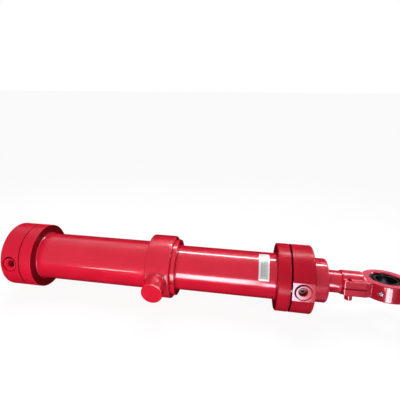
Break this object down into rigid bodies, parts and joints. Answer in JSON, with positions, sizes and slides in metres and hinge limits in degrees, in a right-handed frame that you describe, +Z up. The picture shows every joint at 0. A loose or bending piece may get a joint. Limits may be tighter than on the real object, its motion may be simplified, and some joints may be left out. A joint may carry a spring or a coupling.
{
  "type": "hydraulic cylinder",
  "caption": "Double-acting hydraulic cylinder with bolted round heads, a trunnion collar between them and a clamped spherical rod eye.",
  "frame": {"origin": "centre of the flat end face of the cap head, on the cylinder's axis", "axes": "+X along the cylinder's axis from the cap end to the rod eye, +Z up as the cylinder lies with its axis and its trunnion pins level, the pins along Y"},
  "size_m": [1.0755, 0.248, 0.179],
  "materials": {
    "paint": "thick gloss red enamel with slight orange peel",
    "chrome": "ground and polished hard chrome",
    "steel": "turned steel",
    "black_steel": "black phosphated bearing steel",
    "zinc": "bright zinc plate",
    "plate": "satin aluminium, blank",
    "bronze": "turned bearing bronze",
    "urethane": "smooth polyurethane",
    "resin": "fabric-filled resin",
    "rubber": "matte nitrile rubber"
  },
  "bodies": {
    "barrel": {"barrel_tube": "paint", "cap_flange": "paint", "rod_flange": "paint", "cap_head": "paint", "rod_head": "paint", "gland": "paint", "gland_o_ring": "rubber", "rod_guide_bush": "bronze", "rod_seal": "urethane", "rod_wiper": "rubber", "cap_head_o_ring": "rubber", "rod_head_o_ring": "rubber", "trunnion_collar": "paint", "keeper_ring_front": "paint", "keeper_ring_rear": "paint", "nameplate": "plate", "cap_port_plug": "paint", "rod_port_plug": "paint", "cap_head_screw_1": "paint", "cap_head_screw_2": "paint", "cap_head_screw_3": "paint", "cap_head_screw_4": "paint", "cap_head_screw_5": "paint", "cap_head_screw_6": "paint", "cap_head_screw_7": "paint", "cap_head_screw_8": "paint", "rod_head_screw_1": "paint", "rod_head_screw_2": "paint", "rod_head_screw_3": "paint", "rod_head_screw_4": "paint", "rod_head_screw_5": "paint", "rod_head_screw_6": "paint", "rod_head_screw_7": "paint", "rod_head_screw_8": "paint"},
    "piston_seals": {"piston_seal": "urethane", "piston_guide_ring_cap_side": "resin", "piston_guide_ring_rod_side": "resin"},
    "rod": {"piston_rod": "chrome", "piston": "steel", "piston_nut": "steel", "piston_o_ring": "rubber", "rod_eye": "paint", "eye_clamp_screw": "paint", "eye_bearing_outer_ring": "black_steel", "eye_circlip_upper": "black_steel", "eye_circlip_lower": "black_steel", "grease_nipple": "zinc"},
    "ball": {"eye_bearing_ball": "black_steel"}
  },
  "joints": [
    {"name": "rod_slide", "type": "slide", "parent": "barrel", "child": "piston_seals", "axis": [1, 0, 0], "range_m": [0, 0.6]},
    {"name": "rod_turn", "type": "hinge", "parent": "piston_seals", "child": "rod", "pos_m": [0.1, 0, 0], "axis": [1, 0, 0], "continuous": true},
    {"name": "ball_swing", "type": "hinge", "parent": "rod", "child": "ball", "pos_m": [1.0195, 0, 0], "axis": [0, 0.1994, 0.9799], "continuous": true}
  ]
}
